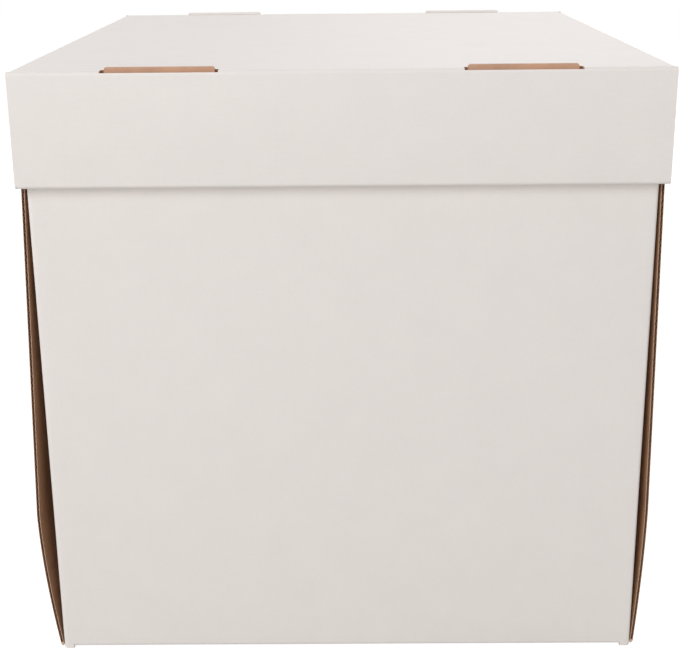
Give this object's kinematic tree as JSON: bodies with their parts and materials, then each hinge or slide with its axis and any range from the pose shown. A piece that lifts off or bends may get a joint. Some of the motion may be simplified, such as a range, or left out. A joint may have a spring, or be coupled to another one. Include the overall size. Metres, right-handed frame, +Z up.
{
  "type": "cake box",
  "caption": "Tall square two-piece cake box of white-lined corrugated board: folded base with loosely bulging side walls and a lift-off tray lid with rolled walls locked by tabs.",
  "frame": {"origin": "on the ground under the middle of the overall size, at the undersides of the four corner feet", "axes": "+X to the right and +Z up, seen from the front, which faces -Y"},
  "size_m": [0.319, 0.3128, 0.3131],
  "materials": {
    "base_board": "matt white liner outside, brown kraft liner inside, open flutes at the cut edges",
    "lid_board": "matt white liner outside, brown kraft liner inside, open flutes at the cut edges"
  },
  "bodies": {
    "base": {"base": "base_board"},
    "lid": {"lid": "lid_board"}
  },
  "joints": [
    {"name": "lid_lift", "type": "slide", "parent": "base", "child": "lid", "axis": [0, 0, 1], "range_m": [0, 0.1]}
  ]
}
